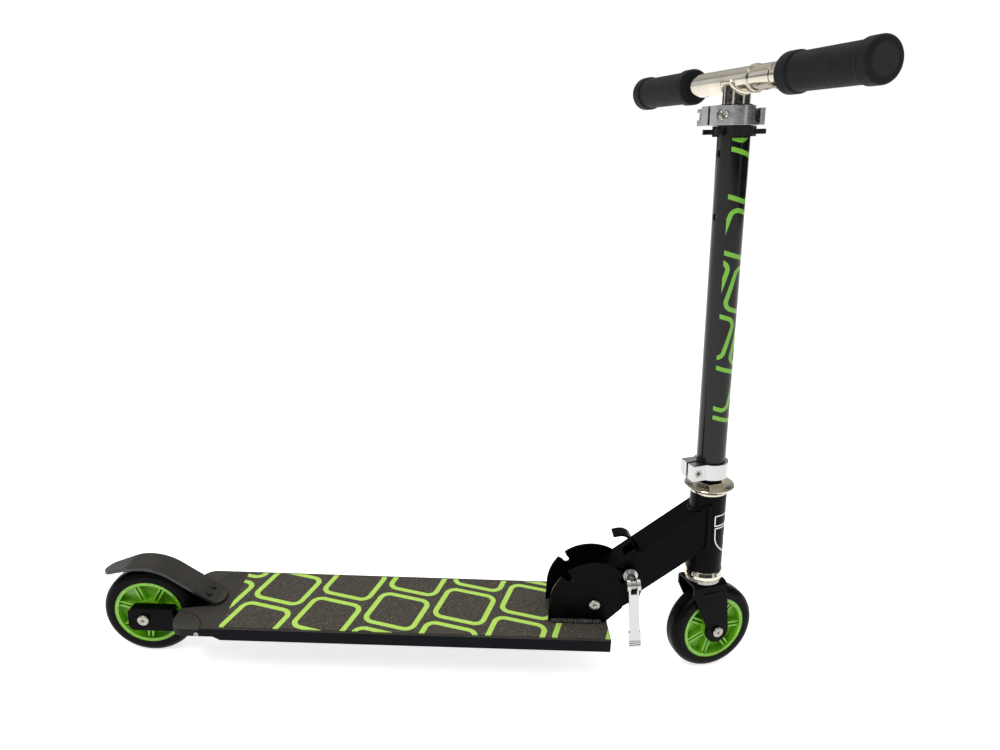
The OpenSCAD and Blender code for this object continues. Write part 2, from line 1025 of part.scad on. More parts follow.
module lever_pin() {
    color(steel)
        lever_frame()
            rotate([0, 90, 0])
                translate([0, 0, -7])
                    cylinder(r = 2, h = 14);
}

module lock_lever() {
    strip_t = 3;
    color(chrome)
        lever_frame()
            difference() {
                union() {
                    rotate([0, 90, 0])
                        translate([0, 0, -7])
                            cylinder(r = lever_cheek_r, h = 14);
                    translate([-5.3, -strip_t / 2 - 1, -lever_len])
                        cube([10.6, strip_t, lever_len]);
                    translate([-6.3, -strip_t / 2 - 1, -lever_len])
                        cube([12.6, strip_t, 18]);
                    for (i = [0:2])
                        translate([-6.3, -strip_t / 2 - 1.7, -lever_len + 1 + 2.4 * i])
                            cube([12.6, 1, 1.2]);
                }
                rotate([0, 90, 0])
                    translate([0, 0, -8])
                        cylinder(r = 2 + run, h = 16);
                translate([-rod_r - gap, -10, -10.5])
                    cube([rod_d + 2 * gap, 20, 20]);
            }
}

// The release hook: a flat link on the rod, rising through the neck's top and bent back.
module release_hook() {
    ra = rod_x * cos(neck_deg) + rod_z * sin(neck_deg);
    rb = rod_z * cos(neck_deg) - rod_x * sin(neck_deg);
    color(black)
        neck_frame()
            difference() {
                side_solid(-hook_half, hook_half)
                    translate([ra, rb]) {
                        circle(r = rod_r + 2.2);
                        bent_strip([[3, 0], [17.3, 0], [21.8, 27.2], [21.2, 31.2], [19.3, 34.7],
                                [16.3, 37.2], [9.3, 40.7]], 3);
                    }
                translate([ra, 0, rb])
                    y_rod(-10, 10, rod_r);
            }
}

// ---------- fork and headset ----------

// A fork leg's side view: wide at the crown, narrowing to a round end at the axle.
module leg_side() {
    end_r = 14;
    top = crown_h;
    translate([fork_offset, front_axle_h])
        circle(r = end_r);
    polygon([
        [-20, top],
        [-20, top - 14],
        [fork_offset - 12.6, front_axle_h + 6],
        [fork_offset, front_axle_h - 4],
        [fork_offset + end_r, front_axle_h + 3],
        [19.5, top]]);
}

module fork() {
    bend = 5;
    color(black)
        steer_frame()
            difference() {
                union() {
                    intersection() {
                        side_solid(-leg_out, leg_out)
                            leg_side();
                        translate([-60, 0, 0])
                            rotate([90, 0, 90])
                                linear_extrude(height = 120) {
                                    translate([-leg_out, -20])
                                        square([2 * leg_out, crown_h - bend + 20]);
                                    translate([bend - leg_out, 0])
                                        square([2 * leg_out - 2 * bend, crown_h]);
                                    for (side = [-1, 1])
                                        translate([side * (leg_out - bend), crown_h - bend])
                                            circle(r = bend);
                                }
                    }
                    translate([0, 0, crown_h - 2])
                        cylinder(r = steerer_r, h = outer_low + 62 - crown_h);
                    for (side = [0, 1])
                        mirror([0, side, 0])
                            side_solid(leg_out - 1, leg_out + 0.6)
                                translate([-7.5, crown_h - 15.2])
                                    square([20, 3.4]);
                }
                translate([-60, -leg_in, -20])
                    cube([120, 2 * leg_in, crown_h - crown_t + 20]);
                translate([0, 0, crown_h - 20])
                    cylinder(r = steerer_r - 3, h = 400);
                translate([fork_offset, 0, front_axle_h])
                    y_rod(-40, 40, axle_r);
            }
}

module crown_race() {
    color(steel)
        steer_frame()
            translate([0, 0, crown_h])
                rotate_extrude() {
                    translate([steerer_r, 0])
                        square([head_r + 0.5 - steerer_r, 3.5]);
                    translate([steerer_r, 0])
                        square([head_r - 6 - steerer_r, 6.7]);
                }
}

module headset_flange() {
    color(chrome)
        steer_frame()
            translate([0, 0, flange_low])
                rotate_extrude($fn = 96) {
                    translate([steerer_r, 0])
                        polygon([
                            [0, 0],
                            [flange_d / 2 - steerer_r - 8, 0],
                            [flange_d / 2 - steerer_r - 1, 3],
                            [flange_d / 2 - steerer_r, 4.2],
                            [flange_d / 2 - steerer_r - 0.6, 5],
                            [flange_d / 2 - steerer_r - 2.2, 4.8],
                            [flange_d / 2 - steerer_r - 9, 2.2],
                            [0, 2.2]]);
                }
}

module headset_locknut() {
    color(chrome)
        steer_frame()
            translate([0, 0, locknut_low])
                difference() {
                    cylinder(d = 30 / cos(30), h = 7, $fn = 6);
                    translate([0, 0, -1])
                        cylinder(r = steerer_r, h = 9);
                }
}

// ---------- clamps, tubes and collar ----------

// A split band round the outer tube, with an ear on each side of its gap.
module clamp_band(ear_len) {
    difference() {
        union() {
            cylinder(r = outer_r + clamp_wall, h = clamp_h);
            translate([-ear_len, -ear_half, 0])
                cube([ear_len, 2 * ear_half, clamp_h]);
        }
        translate([0, 0, -1])
            cylinder(r = outer_r, h = clamp_h + 2);
        translate([-ear_len - 1, -1.7, -1])
            cube([ear_len, 3.4, clamp_h + 2]);
        translate([ear_u, 0, clamp_h / 2])
            y_rod(-ear_half - 1, ear_half + 1, 2.5);
    }
}

module lower_clamp() {
    color(steel)
        steer_frame()
            translate([0, 0, low_clamp_h])
                difference() {
                    clamp_band(28);
                    translate([ear_u, 0, clamp_h / 2])
                        y_rod(-ear_half - 1, -ear_half + 4, 4);
                }
}

module lower_clamp_bolt() {
    color(chrome)
        steer_frame()
            translate([ear_u, 0, low_clamp_h + clamp_h / 2])
                difference() {
                    union() {
                        y_rod(-ear_half + 4, ear_half + 4.5, 2.5);
                        y_rod(-ear_half + 0.3, -ear_half + 4, 4);
                        translate([0, ear_half, 0])
                            rotate([-90, 0, 0])
                                cylinder(d = 8 / cos(30), h = 3.6, $fn = 6);
                    }
                    y_rod(-ear_half - 1, -ear_half + 2.6, 2);
                }
}

module outer_tube() {
    color(black)
        steer_frame()
            difference() {
                translate([0, 0, outer_low])
                    cylinder(r = outer_r, h = outer_top - outer_low, $fn = 96);
                translate([0, 0, outer_low - 1])
                    cylinder(r = outer_bore, h = outer_top - outer_low + 2, $fn = 96);
                // button holes of the two height settings, toward the rider
                for (h = [button_h, button_h + height_travel])
                    translate([0, 0, h])
                        rotate([0, -90, 0])
                            cylinder(r = button_r + gap, h = outer_r + 5);
                // clamping slot
                translate([-outer_r - 5, -0.8, outer_top - 24])
                    cube([outer_r + 5, 1.6, 30]);
            }
}

module upper_clamp() {
    color(steel)
        steer_frame()
            translate([0, 0, up_clamp_h])
                clamp_band(28);
}

// The quick-release bolt, its eye and the pin that the lever turns on.
module upper_clamp_bolt() {
    color(chrome)
        steer_frame()
            translate([ear_u, 0, up_clamp_h + clamp_h / 2]) {
                difference() {
                    union() {
                        y_rod(-ear_half, cam_v, 2.5);
                        y_rod(-ear_half - 4.2, -ear_half, 4.7);
                    }
                    y_rod(-ear_half - 5, -ear_half - 1.6, 2.3);
                }
                translate([0, cam_v, -3])
                    cylinder(r = 3.6, h = 6);
                translate([0, cam_v, -7])
                    cylinder(r = 2, h = 14);
            }
}

module clamp_lever() {
    arm_in = outer_r + clamp_wall + 4;
    arm_out = arm_in + 3.2;
    height = 15;
    drop = 1;
    end_deg = -32;
    color(chrome)
        steer_frame()
            translate([0, 0, up_clamp_h + clamp_h / 2 - height / 2 - drop])
                difference() {
                    union() {
                        linear_extrude(height = height)
                            difference() {
                                circle(r = arm_out, $fn = 96);
                                circle(r = arm_in, $fn = 96);
                                rotate(end_deg)
                                    polygon([[0, 0], [60, 0], [60, -60], [-60, -60], [-60, 0]]);
                                polygon([[0, 0], [2.2 * ear_u, 2.2 * cam_v], [-60, -60], [20, -60]]);
                            }
                        for (i = [0:3])
                            rotate([0, 0, end_deg + 3 + i * 7])
                                translate([arm_out - 1, -0.7, 0])
                                    cube([2.2, 1.4, height]);
                        translate([ear_u, cam_v, 0])
                            cylinder(r = 5.6, h = height);
                    }
                    translate([ear_u, cam_v, -1])
                        cylinder(r = 2 + run, h = height + 2);
                    translate([ear_u, cam_v, height / 2 + drop - 3.3])
                        cylinder(r = 7.4, h = 6.6);
                }
}

// The moulded collar under the upper clamp, with a clip in front and behind for the handles.
module clip_collar() {
    clip_r = bar_r - 1.2;
    clip_u = outer_r + 9;
    color("#202125")
        steer_frame()
            translate([0, 0, collar_h])
                difference() {
                    union() {
                        cylinder(r = outer_r + 3, h = 9.4);
                        for (side = [0, 1])
                            mirror([side, 0, 0])
                                translate([clip_u, 0, 2])
                                    difference() {
                                        cylinder(r = clip_r + 2.4, h = 4.6);
                                        translate([0, 0, -1])
                                            cylinder(r = clip_r, h = 8);
                                        translate([2.2, -30, -1])
                                            cube([30, 60, 8]);
                                    }
                        for (side = [0, 1])
                            mirror([side, 0, 0])
                                translate([outer_r - 1, -8, 0])
                                    cube([4.6, 16, 9.4]);
                    }
                    translate([0, 0, -1])
                        cylinder(r = outer_r, h = 12);
                    for (side = [0, 1])
                        mirror([side, 0, 0])
                            translate([clip_u, 0, -1])
                                cylinder(r = clip_r, h = 12);
                }
}

// ---------- stem and handlebar ----------

module stem_tube() {
    color(chrome)
        steer_frame()
            difference() {
                translate([0, 0, stem_low])
                    cylinder(r = stem_r, h = bar_h - stem_low);
                translate([0, 0, stem_low - 1])
                    cylinder(r = stem_r - 1.8, h = bar_h - stem_low - bar_r - 3);
                translate([0, 0, bar_h])
                    y_rod(-40, 40, bar_r);
                translate([0, 0, button_h])
                    rotate([0, -90, 0])
                        cylinder(r = button_r + run, h = stem_r + 5);
            }
}

module cross_tube() {
    ring_v = -28;
    color(chrome)
        steer_frame()
            translate([0, 0, bar_h])
                difference() {
                    union() {
                        y_rod(-sleeve_half, sleeve_half, bar_r);
                        y_rod(ring_v - 1.3, ring_v + 1.3, bar_r + 1.3);
                    }
                    y_rod(-sleeve_half - 1, sleeve_half + 1, plug_r + run);
                    for (side = [-1, 1])
                        translate([0, side * handle_button_v, -bar_r - 4])
                            cylinder(r = button_r - 0.4 + gap, h = bar_r);
                }
}

// A spring button: a round pin with a foot inside its tube, drawn pressed in.
module snap_button(pin_r, reach) {
    translate([0, 0, reach - 5])
        cylinder(r = pin_r, h = 5);
    translate([0, 0, reach - 6.5])
        cylinder(r = pin_r + 1.4, h = 1.5);
}

module stem_button() {
    color(steel)
        steer_frame()
            translate([0, 0, button_h])
                rotate([0, -90, 0])
                    snap_button(button_r, stem_r);
}

// One handle along +Y: a tube with a narrower end that slides in the cross tube.
module handle() {
    color(chrome)
        difference() {
            union() {
                y_rod(sleeve_half - handle_travel, sleeve_half + 5, plug_r);
                y_rod(sleeve_half + gap, bar_half - 4, handle_r);
            }
            y_rod(0, bar_half, handle_bore);
            translate([0, handle_button_v, -bar_r - 4])
                cylinder(r = button_r - 0.4 + run, h = bar_r);
        }
}

// Grip along +Y: foam with a thicker collar at each end.
module grip() {
    end_r = grip_end_d / 2;
    mid_r = grip_d / 2;
    round_r = (end_r - handle_r) * 0.48;
    end_y = bar_half;
    color(foam)
        rotate([-90, 0, 0])
            rotate_extrude()
                difference() {
                    union() {
                        translate([handle_r, grip_start])
                            square([end_r - handle_r - round_r, end_y - grip_start]);
                        translate([handle_r, grip_start + round_r])
                            square([mid_r - handle_r, end_y - grip_start - 2 * round_r]);
                        for (y = [grip_start, end_y - 16])
                            translate([handle_r, y + round_r])
                                square([end_r - handle_r, 16 - 2 * round_r]);
                        for (y = [grip_start + round_r, grip_start + 16 - round_r,
                                end_y - 16 + round_r, end_y - round_r])
                            translate([end_r - round_r, y])
                                circle(r = round_r, $fn = 32);
                    }
                    translate([0, end_y - 4])
                        square([bar_r + 1.2, 5]);
                }
}

module end_plug() {
    color("#3c3f43") {
        y_rod(bar_half - 4, bar_half - 0.4, bar_r + 1.2);
        y_rod(bar_half - 16, bar_half - 4, handle_bore);
    }
}

module handle_button() {
    color(steel)
        translate([0, handle_button_v, 0])
            mirror([0, 0, 1])
                snap_button(button_r - 0.4, plug_r - 0.5);
}

module left_frame()
    steer_frame()
        translate([0, 0, bar_h])
            children();

module right_frame()
    left_frame()
        mirror([0, 1, 0])
            children();

module right_handle() right_frame() handle();
module right_grip() right_frame() grip();
module right_end_plug() right_frame() end_plug();
module right_button() right_frame() handle_button();
module left_handle() left_frame() handle();
module left_grip() left_frame() grip();
module left_end_plug() left_frame() end_plug();
module left_button() left_frame() handle_button();

deck_box();
grip_tape();
deck_front_plug();
rear_end_caps();
axle_bracket();
bracket_bolts();
side_screws();
fender_mount();
hinge_plates();
hinge_welds();
pivot_bolt();
frame_nuts();
rear_axle();
rear_axle_spacers();
rear_tyre();
rear_hub();
rear_bearings();
fender();
fender_screws();
neck_tube();
head_tube();
pivot_bush();
pivot_washers();
lower_cup();
upper_cup();
headset_bearings();
lock_rod();
release_hook();
rod_nut();
lever_washer();
lever_pin();
lock_lever();
fork();
crown_race();
headset_flange();
headset_locknut();
lower_clamp();
lower_clamp_bolt();
outer_tube();
clip_collar();
upper_clamp();
upper_clamp_bolt();
front_axle();
front_axle_nut();
front_axle_spacers();
front_tyre();
front_hub();
front_bearings();
clamp_lever();
stem_tube();
cross_tube();
stem_button();
right_handle();
right_grip();
right_end_plug();
right_button();
left_handle();
left_grip();
left_end_plug();
left_button();
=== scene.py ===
import json
import math

import bpy
import numpy as np
from mathutils import Matrix, Vector


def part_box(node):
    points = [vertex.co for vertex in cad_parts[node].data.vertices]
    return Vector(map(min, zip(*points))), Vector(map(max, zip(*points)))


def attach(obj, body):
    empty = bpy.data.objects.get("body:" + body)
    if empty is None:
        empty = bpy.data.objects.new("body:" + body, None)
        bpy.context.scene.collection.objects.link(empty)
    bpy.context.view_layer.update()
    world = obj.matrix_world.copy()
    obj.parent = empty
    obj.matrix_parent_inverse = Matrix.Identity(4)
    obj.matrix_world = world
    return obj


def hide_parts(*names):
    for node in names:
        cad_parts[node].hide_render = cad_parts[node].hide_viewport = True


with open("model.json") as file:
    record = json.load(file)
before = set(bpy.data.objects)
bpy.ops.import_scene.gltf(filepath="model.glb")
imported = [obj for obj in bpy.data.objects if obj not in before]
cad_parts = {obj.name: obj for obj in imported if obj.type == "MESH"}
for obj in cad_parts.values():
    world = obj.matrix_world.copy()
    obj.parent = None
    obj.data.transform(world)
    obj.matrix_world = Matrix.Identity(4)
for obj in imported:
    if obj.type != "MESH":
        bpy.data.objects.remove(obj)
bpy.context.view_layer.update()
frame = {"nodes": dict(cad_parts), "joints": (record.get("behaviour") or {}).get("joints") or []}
nodes = frame["nodes"]
joints = {j["name"]: j for j in frame["joints"]}

# The deck: a shallow folded box in a warm grey satin powder coat that has the fine ripple of all sprayed
# powder.
# Its sides are painted blue-black as painted shade, for the shadow they lie in below the top.
MM = 0.001


def linear(hex_colour):
    """The linear RGBA of an sRGB hex colour: a dark channel is divided by 12.92, any other has 0.055 added,
    is divided by 1.055 and raised to 2.4."""
    srgb = [int(hex_colour[i:i + 2], 16) / 255 for i in (1, 3, 5)]
    return [c / 12.92 if c <= 0.04045 else ((c + 0.055) / 1.055) ** 2.4 for c in srgb] + [1.0]


def add(material, kind, inputs=None, **settings):
    """Adds one node to a material: settings are the node's own, inputs are values or sockets by name or
    number."""
    node = material.node_tree.nodes.new("ShaderNode" + kind)
    for name, value in settings.items():
        setattr(node, name, value)
    for name, value in (inputs or {}).items():
        if isinstance(value, bpy.types.NodeSocket):
            material.node_tree.links.new(value, node.inputs[name])
        else:
            node.inputs[name].default_value = value
    return node


def finish(name, **sockets):
    """A new material of one Principled shader with those sockets set, returned with its shader."""
    material = bpy.data.materials.new(name)
    material.use_nodes = True
    shader = material.node_tree.nodes["Principled BSDF"]
    for socket, value in sockets.items():
        shader.inputs[socket.replace("_", " ")].default_value = value
    return material, shader


def plug(material, shader, **sockets):
    """Links sockets into the shader's inputs by name."""
    for name, socket in sockets.items():
        material.node_tree.links.new(socket, shader.inputs[name.replace("_", " ")])


def blend_colours(material, factor, low, high):
    """Mixes two hex colours or colour sockets by a factor socket."""
    low = linear(low) if isinstance(low, str) else low
    high = linear(high) if isinstance(high, str) else high
    mix = add(material, "Mix", {0: factor, 6: low, 7: high}, data_type="RGBA")
    return mix.outputs[2]


def grain(material, size_mm, detail=3.0, stretch=(1, 1, 1), rotation=(0, 0, 0)):
    """Noise on Object coordinates whose lumps are about size_mm across, drawn out by stretch."""
    coordinates = add(material, "TexCoord").outputs["Object"]
    turned = add(material, "Mapping", {"Vector": coordinates, "Rotation": rotation,
                                       "Scale": [1 / s for s in stretch]})
    return add(material, "TexNoise", {"Vector": turned.outputs[0], "Scale": 1 / (size_mm * MM),
                                      "Detail": detail}).outputs["Fac"]


def spread(material, value, low, high, to_low=0.0, to_high=1.0):
    """Maps a value from one range to another, held at its ends."""
    return add(material, "MapRange", {0: value, 1: low, 2: high, 3: to_low, 4: to_high}).outputs[0]


def relief(material, height, depth_mm, strength=1.0, edge_mm=0.0):
    """A bump of that real depth from a height of 0 to 1, over edges rounded to edge_mm."""
    inputs = {"Height": height, "Distance": depth_mm * MM, "Strength": strength}
    if edge_mm:
        inputs["Normal"] = add(material, "Bevel", {"Radius": edge_mm * MM}, samples=4).outputs[0]
    return add(material, "Bump", inputs).outputs[0]


def dress(material, *names):
    """Gives CAD nodes one material."""
    for name in names:
        nodes[name].data.materials.clear()
        nodes[name].data.materials.append(material)


deck_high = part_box("deck_box")[1]
deck_paint, deck_shader = finish("deck_powder_coat", Specular_IOR_Level=0.07)
deck_place = add(deck_paint, "SeparateXYZ", {0: add(deck_paint, "TexCoord").outputs["Object"]})
# Painted shade: every face below the top gets a blue-black colour, and the top keeps the grey.
top_unshaded_mask = spread(deck_paint, deck_place.outputs["Z"], deck_high.z - 0.25 * MM, deck_high.z - 0.05 * MM)
deck_cloud = spread(deck_paint, grain(deck_paint, 30, 5), 0.3, 0.7)
top_grey = blend_colours(deck_paint, deck_cloud, "#3a3835", "#43413d")
side_painted_shade = blend_colours(deck_paint, deck_cloud, "#020409", "#05080f")
plug(deck_paint, deck_shader,
     Base_Color=blend_colours(deck_paint, top_unshaded_mask, side_painted_shade, top_grey),
     Roughness=spread(deck_paint, grain(deck_paint, 9, 6), 0.3, 0.7, 0.36, 0.5),
     Normal=relief(deck_paint, grain(deck_paint, 0.9, 2), 0.05, 0.5, edge_mm=0.8))
dress(deck_paint, "deck_box")

# The grip tape: aluminium-oxide grit about 0.5 mm across, glued on cloth, printed with
# lime outlines of rounded squares that stand in columns, each half a step from the next.
TAPE_PITCH = 67.5
TAPE_TURN = math.radians(16.63)


def rounded_squares(material, along, across, pitch_mm, scale):
    """1 on the outlines: the point is wrapped into its own square of a staggered grid, and its distance
    to that square's rounded edge is the length of what sticks out past the corner's centre, less the
    corner's radius."""
    def math_node(operation, *values):
        return add(material, "Math", dict(enumerate(values)), operation=operation).outputs[0]

    pitch = pitch_mm * MM
    half, corner, stroke = 30.5 * scale * MM, 13.0 * scale * MM, 5.8 * scale * MM
    column = math_node("ROUND", math_node("DIVIDE", along, pitch))
    x = math_node("ABSOLUTE", math_node("SUBTRACT", along, math_node("MULTIPLY", column, pitch)))
    shifted = math_node("SUBTRACT", across, math_node("MULTIPLY", column, pitch / 2))
    y = math_node("ABSOLUTE", math_node("WRAP", shifted, pitch / 2, -pitch / 2))
    out_x = math_node("MAXIMUM", math_node("SUBTRACT", x, half - corner), 0.0)
    out_y = math_node("MAXIMUM", math_node("SUBTRACT", y, half - corner), 0.0)
    reach = math_node("SQRT", math_node("ADD", math_node("MULTIPLY", out_x, out_x),
                                        math_node("MULTIPLY", out_y, out_y)))
    off_line = math_node("ABSOLUTE", math_node("SUBTRACT", reach, corner - stroke / 2))
    return spread(material, off_line, stroke / 2 - 0.2 * MM, stroke / 2 + 0.2 * MM, 1.0, 0.0)


rear_axle_x = sum(corner.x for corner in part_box("rear_tyre")) / 2
grip_tape, tape_shader = finish("grit_tape", Specular_IOR_Level=0.12)
tape_place = add(grip_tape, "Mapping", {
    "Vector": add(grip_tape, "TexCoord").outputs["Object"],
    "Location": (rear_axle_x + 274.475 * MM, -14.17 * MM, 0), "Rotation": (0, 0, -TAPE_TURN)},
    vector_type="TEXTURE")
tape_xyz = add(grip_tape, "SeparateXYZ", {0: tape_place.outputs[0]})
tape_print = rounded_squares(grip_tape, tape_xyz.outputs["X"], tape_xyz.outputs["Y"], TAPE_PITCH, 1.0)
grit = add(grip_tape, "TexVoronoi", {"Vector": add(grip_tape, "TexCoord").outputs["Object"],
                                     "Scale": 1 / (0.8 * MM)})
grit_tone = add(grip_tape, "SeparateColor", {0: grit.outputs["Color"]})
grit_grey_and_painted_glints = blend_colours(grip_tape, grit_tone.outputs[0], "#393631", "#5c5851")
# Painted highlights: a few grains are coloured a pale grey as painted glints, and they are also made
# glossier.
glint = spread(grip_tape, grit_tone.outputs[1], 0.975, 0.985)
grit_grey_and_painted_glints = blend_colours(grip_tape, glint, grit_grey_and_painted_glints, "#85807a")
worn_green = blend_colours(grip_tape, spread(grip_tape, grain(grip_tape, 1.4, 4), 0.35, 0.62),
                           "#acdc58", "#c4ec76")
plug(grip_tape, tape_shader,
     Base_Color=blend_colours(grip_tape, tape_print, grit_grey_and_painted_glints, worn_green),
     Roughness=spread(grip_tape, glint, 0, 1, 0.85, 0.3),
     Normal=relief(grip_tape, grit.outputs["Distance"], 0.35, 0.8))
dress(grip_tape, "grip_tape")

# The rear corner pieces and the front plug: dark grey glass-filled nylon with a spark-eroded
# skin, pressed into the open ends of the deck and held by a bright pan-head screw. Their sides are
# painted nearly black as painted shade, their tops keep the nylon's grey, and a faint random cloud varies
# both.
end_cap, cap_shader = finish("moulded_nylon", Specular_IOR_Level=0.14)
cap_place = add(end_cap, "SeparateXYZ", {0: add(end_cap, "TexCoord").outputs["Object"]})
# Painted shade: below the top the sides are coloured nearly black, and the top keeps the grey.
cap_unshaded_top = spread(end_cap, cap_place.outputs["Z"], deck_high.z - 1.4 * MM, deck_high.z - 0.9 * MM)
cap_tone_cloud = spread(end_cap, grain(end_cap, 22, 4), 0.3, 0.7)
plug(end_cap, cap_shader,
     Base_Color=blend_colours(end_cap, cap_unshaded_top, blend_colours(end_cap, cap_tone_cloud, "#0a0b0d", "#111215"),
                              blend_colours(end_cap, cap_tone_cloud, "#3b3936", "#46443f")),
     Roughness=spread(end_cap, grain(end_cap, 4, 4), 0.3, 0.7, 0.48, 0.6),
     Normal=relief(end_cap, grain(end_cap, 0.7, 3), 0.06, 0.6, edge_mm=1.0))
dress(end_cap, "rear_end_caps", "deck_front_plug")

# The mudguard, which is also the brake: spring steel plate bent over the wheel, sprayed
# the deck's warm grey and held at its foot by two domed screws of blackened steel.


def powder_coat(name, dark, light, roughness=0.42, sheen=0.3):
    """Polyester powder coat: orange-peel ripple about 1 mm across, faint dust and rubbing in its gloss."""
    material, shader = finish(name, Specular_IOR_Level=sheen)
    cloud = grain(material, 38, 4)
    rub = grain(material, 7, 6)
    plug(material, shader,
         Base_Color=blend_colours(material, spread(material, cloud, 0.35, 0.65), dark, light),
         Roughness=spread(material, rub, 0.3, 0.7, roughness - 0.07, roughness + 0.09),
         Normal=relief(material, grain(material, 1.1, 2), 0.05, 0.5, edge_mm=1.1))
    return material


fender_paint = powder_coat("mudguard_powder_coat", "#1c1a17", "#2a2723", 0.27, sheen=0.45)
dress(fender_paint, "fender")
blackened = powder_coat("blackened_steel", "#08080a", "#121213", 0.26, sheen=0.5)
dress(blackened, "fender_screws")

# Everything welded up from steel plate and tube: axle arms, hinge plates, neck, head tube,
# fork. All of it is sprayed one satin black after welding, and the hook is sprayed with it.
frame_paint = powder_coat("black_powder_coat", "#020203", "#050506", 0.34, sheen=0.05)
dress(frame_paint, "axle_bracket", "fender_mount", "hinge_plates", "neck_tube", "head_tube",
      "release_hook", "fork")

# The welds along the feet of the hinge plates: a thick rippled bead on each side, laid by hand
# and sprayed over, so its crests shine through the black.


def skin(name, rings, material, body):
    """A closed surface through rings of points: neighbouring rings are joined by quads, and each
    end ring is filled. rings is an array of ring, point round the ring, and x, y, z. The volume, a sum
    of triple products over the faces' triangles, tells which way the faces look; if it is below zero they
    are turned over."""
    count, around = rings.shape[:2]
    index = np.arange(count * around).reshape(count, around)
    beside = np.roll(index, -1, axis=1)
    quads = np.stack([index[:-1], beside[:-1], beside[1:], index[1:]], axis=-1).reshape(-1, 4)
    faces = quads.tolist() + [index[0, ::-1].tolist(), index[-1].tolist()]
    points = rings.reshape(-1, 3)
    centred = points - points.mean(axis=0)
    inside = sum(centred[f[0]] @ np.cross(centred[f[i]], centred[f[i + 1]])
                 for f in faces for i in range(1, len(f) - 1))
    if inside < 0:
        faces = [face[::-1] for face in faces]
    mesh = bpy.data.meshes.new(name)
    mesh.from_pydata(points.tolist(), [], faces)
    mesh.update()
    mesh.shade_smooth()
    piece = bpy.data.objects.new(name, mesh)
    bpy.context.scene.collection.objects.link(piece)
    piece.data.materials.append(material)
    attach(piece, body)
    return piece


def bead(path, outward, radius, ripple=0.16, pitch=2.2 * MM, seed=1, around=14):
    """Rings of a weld bead along a path: a round of the radius at each point, square to the path,
    whose size swells once per pitch, as each drop of the weld freezes, with a little seeded unevenness."""
    along = np.gradient(path, axis=0)
    along /= np.linalg.norm(along, axis=1)[:, None]
    side = np.cross(along, outward)
    side /= np.linalg.norm(side, axis=1)[:, None]
    up = np.cross(side, along)
    run = np.concatenate([[0], np.cumsum(np.linalg.norm(np.diff(path, axis=0), axis=1))])
    rough = np.random.default_rng(seed).normal(0, 0.05, len(path))
    size = radius * (1 + ripple * np.abs(np.sin(math.pi * run / pitch)) + rough)
    turn = np.linspace(0, 2 * math.pi, around, endpoint=False)
    return (path[:, None] + size[:, None, None]
            * (np.cos(turn)[None, :, None] * side[:, None] + np.sin(turn)[None, :, None] * up[:, None]))


WELD_RADIUS, WELD_STOP = 2.7 * MM, 2 * MM
weld_paint, weld_shader = finish("painted_weld", Specular_IOR_Level=0.4)
weld_scum = spread(weld_paint, grain(weld_paint, 2.2, 6), 0.4, 0.66)
plug(weld_paint, weld_shader,
     Base_Color=blend_colours(weld_paint, weld_scum, "#0c0c0d", "#4a4845"),
     Roughness=spread(weld_paint, weld_scum, 0, 1, 0.3, 0.55),
     Normal=relief(weld_paint, grain(weld_paint, 1.8, 5), 0.5, 0.8))
plates_low, plates_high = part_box("hinge_plates")
welds_low, welds_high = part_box("hinge_welds")
run_x = np.linspace(welds_low.x + WELD_STOP, welds_high.x - WELD_STOP, 190)
for side_name, side_y in (("right", -1), ("left", 1)):
    weld_path = np.stack([run_x, np.full_like(run_x, side_y * (plates_high.y + 0.4 * MM)),
                          np.full_like(run_x, deck_high.z + 0.6 * MM)], axis=1)
    rings = bead(weld_path, np.array([0.0, side_y, 1.0]) / math.sqrt(2), WELD_RADIUS, ripple=0.3,
                 pitch=3.6 * MM, seed=3 + side_y)
    plate_weld = skin("plate_weld_" + side_name, rings, weld_paint, "frame")
    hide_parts("hinge_welds")

# The neck is cut to the head tube's curve and welded all round it, under the black paint. Its
# outline is carried along the neck to where it meets the tube: the nearer root of a quadratic.
steer = joints["steer"]
axis_point = np.array(steer["pos_m"])
axis_up = np.array(steer["axis"])
pivot = np.array(joints["fold"]["pos_m"])
NECK_ANGLE = math.radians(40)
neck_along = np.array([math.cos(NECK_ANGLE), 0, math.sin(NECK_ANGLE)])
neck_above = np.array([-math.sin(NECK_ANGLE), 0, math.cos(NECK_ANGLE)])
HEAD_RADIUS, NECK_BEAD = 19 * MM, 2.2 * MM
NECK_HALF, NECK_TOP, NECK_LOW = 18.7, 20.4, -20.3
outline = np.array([(-NECK_HALF, NECK_TOP), (NECK_HALF, NECK_TOP), (NECK_HALF, NECK_LOW),
                    (-NECK_HALF, NECK_LOW), (-NECK_HALF, NECK_TOP)]) * MM
steps = np.concatenate([np.linspace(outline[i], outline[i + 1], 60, endpoint=False) for i in range(4)])
start = pivot + steps[:, :1] * np.array([0, 1, 0]) + steps[:, 1:] * neck_above
off = start - axis_point
flat_off = off - (off @ axis_up)[:, None] * axis_up
flat_along = neck_along - (neck_along @ axis_up) * axis_up
squared = flat_along @ flat_along
crossed = 2 * flat_off @ flat_along
constant = (flat_off ** 2).sum(1) - HEAD_RADIUS ** 2
root = np.sqrt(np.maximum(crossed * crossed - 4 * squared * constant, 0))
reach = (-crossed - root) / (2 * squared)
joint_line = start + reach[:, None] * neck_along
joint_line = np.concatenate([joint_line, joint_line[:1]])
away = joint_line - axis_point
away = away - (away @ axis_up)[:, None] * axis_up
away /= np.linalg.norm(away, axis=1)[:, None]
skin("neck_weld", bead(joint_line, away, NECK_BEAD, ripple=0.08, seed=8), frame_paint, "neck")

